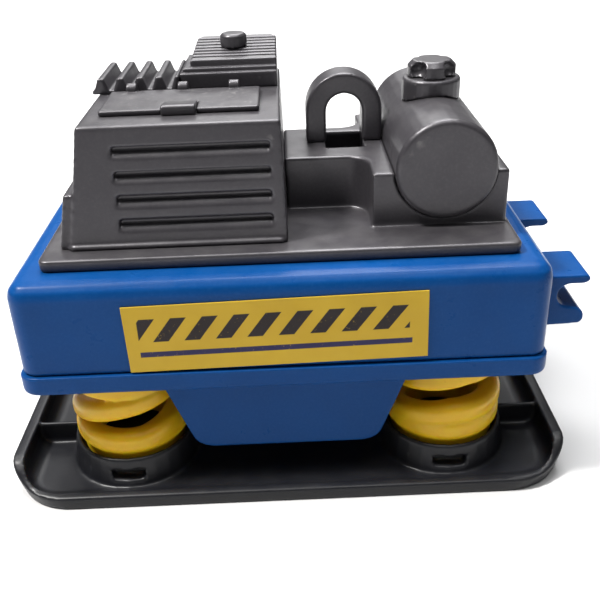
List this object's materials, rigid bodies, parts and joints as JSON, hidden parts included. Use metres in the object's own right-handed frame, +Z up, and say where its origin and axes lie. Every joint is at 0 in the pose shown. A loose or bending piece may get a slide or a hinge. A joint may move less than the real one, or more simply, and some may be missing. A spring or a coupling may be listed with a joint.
{
  "type": "toy plate compactor",
  "caption": "Toy vibratory plate compactor: an engine-topped body on coil springs over a rimmed base plate, with snap clips for a push handle.",
  "frame": {"origin": "centre of the flat underside of the base plate, where the toy stands", "axes": "+X along the length towards the handle clips, +Y away from the labelled long side, +Z up"},
  "size_m": [0.1273, 0.0836, 0.0885],
  "materials": {
    "base_plastic": "dark grey moulded plastic, satin",
    "spring_plastic": "yellow translucent moulded plastic",
    "blue_plastic": "blue moulded plastic, satin gloss",
    "grey_plastic": "metallic grey moulded plastic, satin",
    "label_film": "yellow printed sticker"
  },
  "bodies": {
    "base": {"base_plate": "base_plastic"},
    "spring_set": {"spring_left_front": "spring_plastic", "spring_right_front": "spring_plastic", "spring_left_rear": "spring_plastic", "spring_right_rear": "spring_plastic"},
    "body": {"lower_housing": "blue_plastic", "upper_housing": "blue_plastic", "handle_clip_front": "blue_plastic", "handle_clip_rear": "blue_plastic", "engine_deck": "grey_plastic", "engine_hood": "grey_plastic", "service_hatch": "grey_plastic", "hatch_latch": "grey_plastic", "heat_sink": "grey_plastic", "air_filter": "grey_plastic", "filter_knob": "grey_plastic", "lifting_eye": "grey_plastic", "fuel_tank": "grey_plastic", "filler_neck": "grey_plastic", "fuel_cap": "grey_plastic", "front_label": "label_film"}
  },
  "joints": [
    {"name": "bounce", "type": "slide", "parent": "base", "child": "spring_set", "axis": [0, 0, 1], "range_m": [-0.0035, 0.002], "stiffness_N_per_m": 1500, "springref_m": 0.0007, "deforming": ["spring_left_front", "spring_right_front", "spring_left_rear", "spring_right_rear"]},
    {"name": "rock", "type": "hinge", "parent": "spring_set", "child": "body", "pos_m": [0, 0, 0.0295], "axis": [0, 1, 0], "range_deg": [-1.5, 1.5], "stiffness_Nm_per_rad": 1.8}
  ]
}
